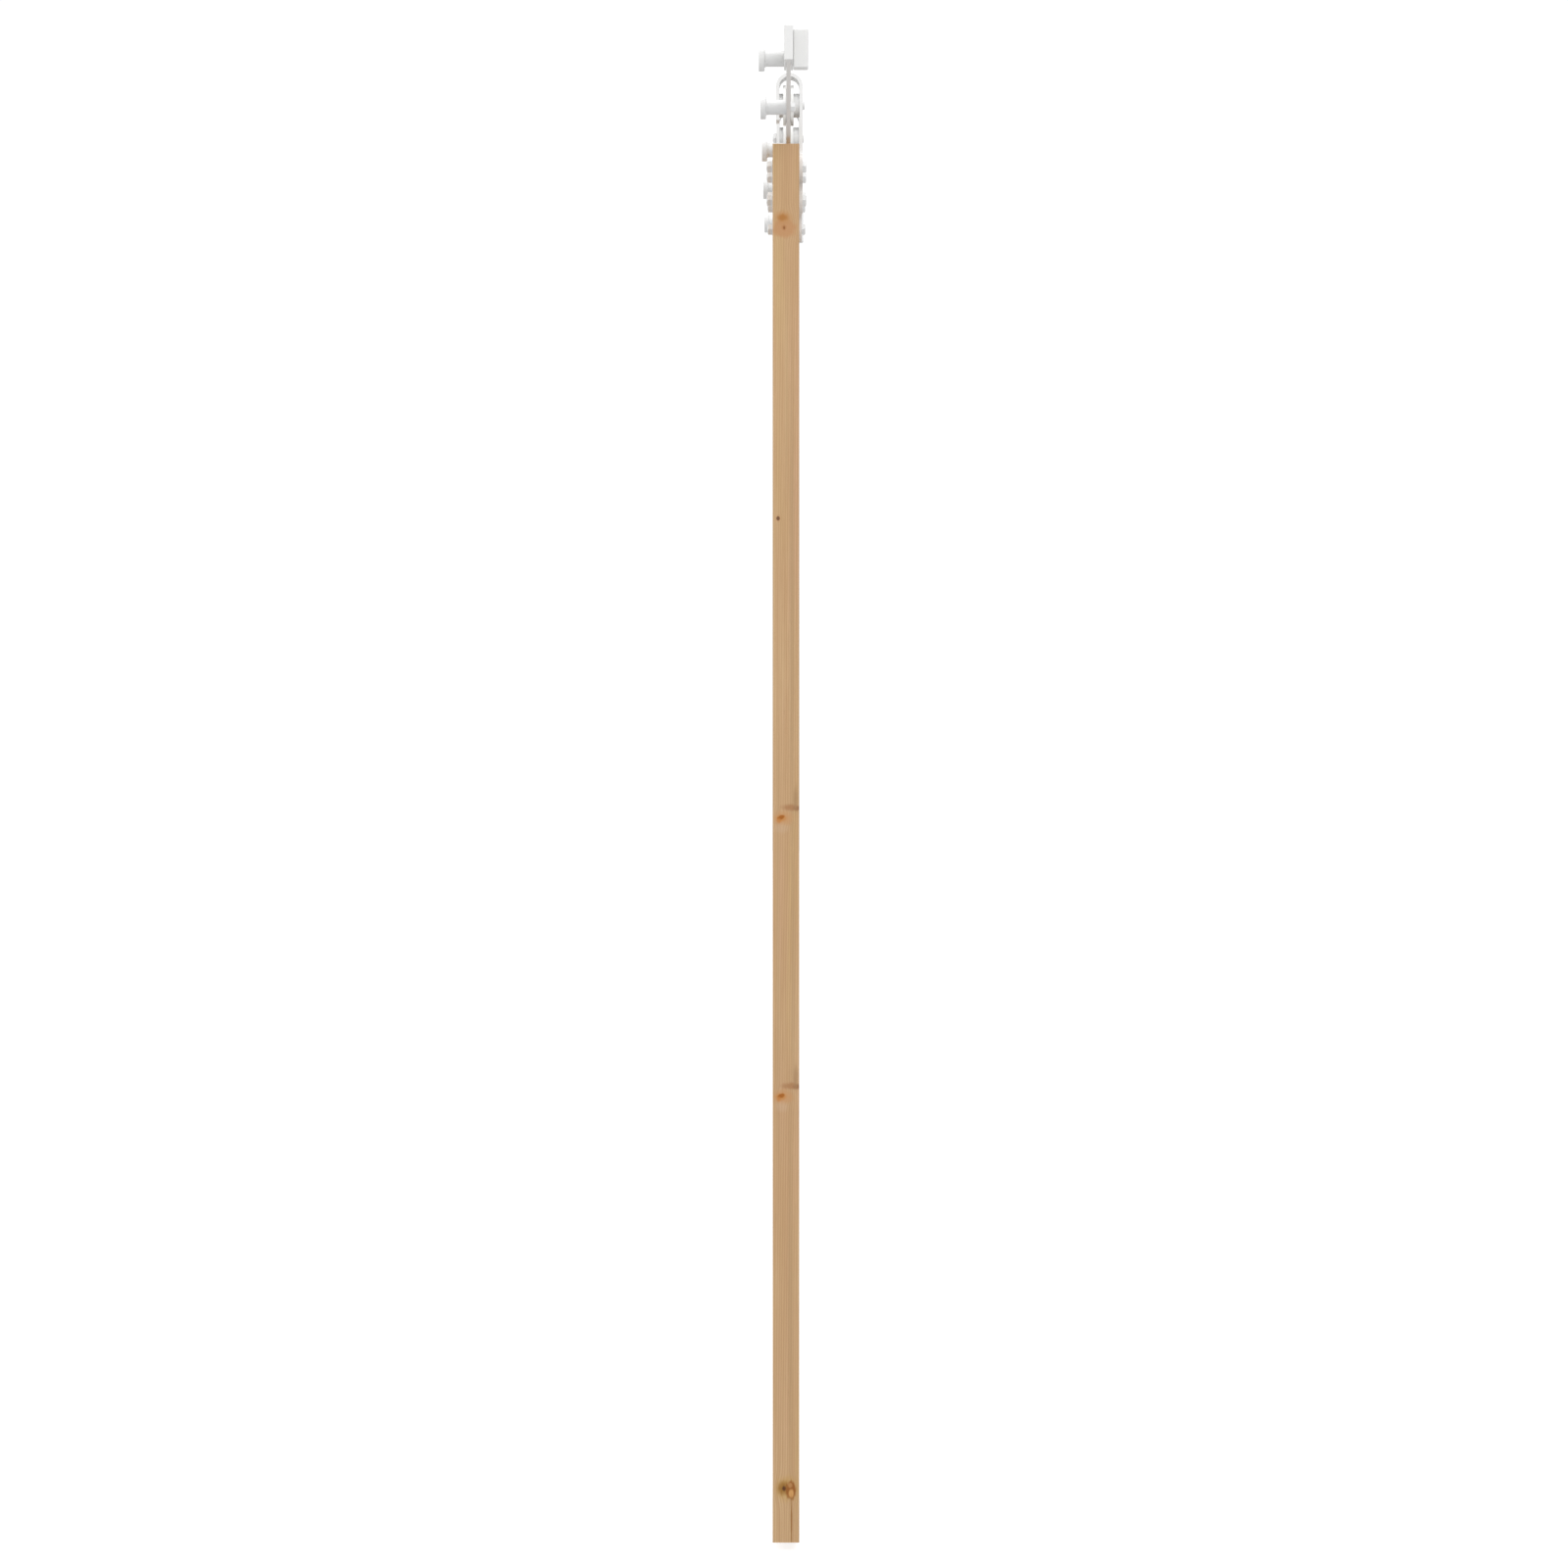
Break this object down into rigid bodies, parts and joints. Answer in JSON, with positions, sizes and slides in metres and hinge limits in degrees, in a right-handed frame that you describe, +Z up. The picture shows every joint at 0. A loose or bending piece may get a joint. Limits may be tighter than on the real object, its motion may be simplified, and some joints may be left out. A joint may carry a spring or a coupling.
{
  "type": "top-hung sliding door",
  "caption": "Pine frame-and-board door hanging by grooved wheels in strap hangers from a white flat rail that stands off the wall on flanged spacers.",
  "frame": {"origin": "on the wall plane, on the axis of the middle standoff, at the rail's middle height", "axes": "+X along the rail to the right as seen from the room, +Y into the wall, +Z up"},
  "size_m": [2.04, 0.0684, 2.222],
  "materials": {
    "rail_steel": "white powder coat, satin",
    "standoff_steel": "white powder coat, satin",
    "stop_steel": "white powder coat, satin",
    "hanger_steel": "white powder coat, satin",
    "fastener_white": "white painted steel, satin",
    "wheel_plastic": "white nylon, satin",
    "bearing_steel": "ground steel",
    "buffer_rubber": "matt white rubber",
    "pine_stile": "planed bare pine with knots",
    "pine_rail": "planed bare pine with knots",
    "pine_board": "planed bare pine with knots"
  },
  "bodies": {
    "rail_assembly": {"rail": "rail_steel", "standoff_1": "standoff_steel", "standoff_2": "standoff_steel", "standoff_3": "standoff_steel", "standoff_4": "standoff_steel", "standoff_5": "standoff_steel", "rail_bolt_1": "fastener_white", "rail_bolt_2": "fastener_white", "rail_bolt_3": "fastener_white", "rail_bolt_4": "fastener_white", "rail_bolt_5": "fastener_white", "stop_saddle_left": "stop_steel", "stop_block_left": "stop_steel", "stop_pad_left": "buffer_rubber", "stop_screw_left": "fastener_white", "stop_saddle_right": "stop_steel", "stop_block_right": "stop_steel", "stop_pad_right": "buffer_rubber", "stop_screw_right": "fastener_white"},
    "door": {"door_stile_left": "pine_stile", "door_stile_right": "pine_stile", "door_top_rail": "pine_rail", "door_lock_rail": "pine_rail", "door_bottom_rail": "pine_rail", "board_upper_1": "pine_board", "board_upper_2": "pine_board", "board_upper_3": "pine_board", "board_upper_4": "pine_board", "board_lower_1": "pine_board", "board_lower_2": "pine_board", "board_lower_3": "pine_board", "board_lower_4": "pine_board", "door_bolt_1": "fastener_white", "door_nut_1": "fastener_white", "door_bolt_2": "fastener_white", "door_nut_2": "fastener_white", "door_bolt_3": "fastener_white", "door_nut_3": "fastener_white", "door_bolt_4": "fastener_white", "door_nut_4": "fastener_white", "door_bolt_5": "fastener_white", "door_nut_5": "fastener_white", "door_bolt_6": "fastener_white", "door_nut_6": "fastener_white", "hanger_strap_left": "hanger_steel", "wheel_spacer_back_left": "hanger_steel", "wheel_spacer_front_left": "hanger_steel", "axle_bolt_left": "fastener_white", "axle_nut_left": "fastener_white", "hanger_strap_right": "hanger_steel", "wheel_spacer_back_right": "hanger_steel", "wheel_spacer_front_right": "hanger_steel", "axle_bolt_right": "fastener_white", "axle_nut_right": "fastener_white"},
    "wheel_left": {"wheel_left": "wheel_plastic", "bearing_left": "bearing_steel"},
    "wheel_right": {"wheel_right": "wheel_plastic", "bearing_right": "bearing_steel"}
  },
  "joints": [
    {"name": "door_slide", "type": "slide", "parent": "rail_assembly", "child": "door", "axis": [1, 0, 0], "range_m": [-0.741, 0.705]},
    {"name": "wheel_left_spin", "type": "hinge", "parent": "door", "child": "wheel_left", "pos_m": [-0.16, -0.041, 0.0455], "axis": [0, 1, 0], "continuous": true},
    {"name": "wheel_right_spin", "type": "hinge", "parent": "door", "child": "wheel_right", "pos_m": [0.196, -0.041, 0.0455], "axis": [0, 1, 0], "continuous": true}
  ],
  "couplings": [
    {"joint": "wheel_left_spin", "follows": "door_slide", "rad_per_m": 39.216},
    {"joint": "wheel_right_spin", "follows": "door_slide", "rad_per_m": 39.216}
  ]
}
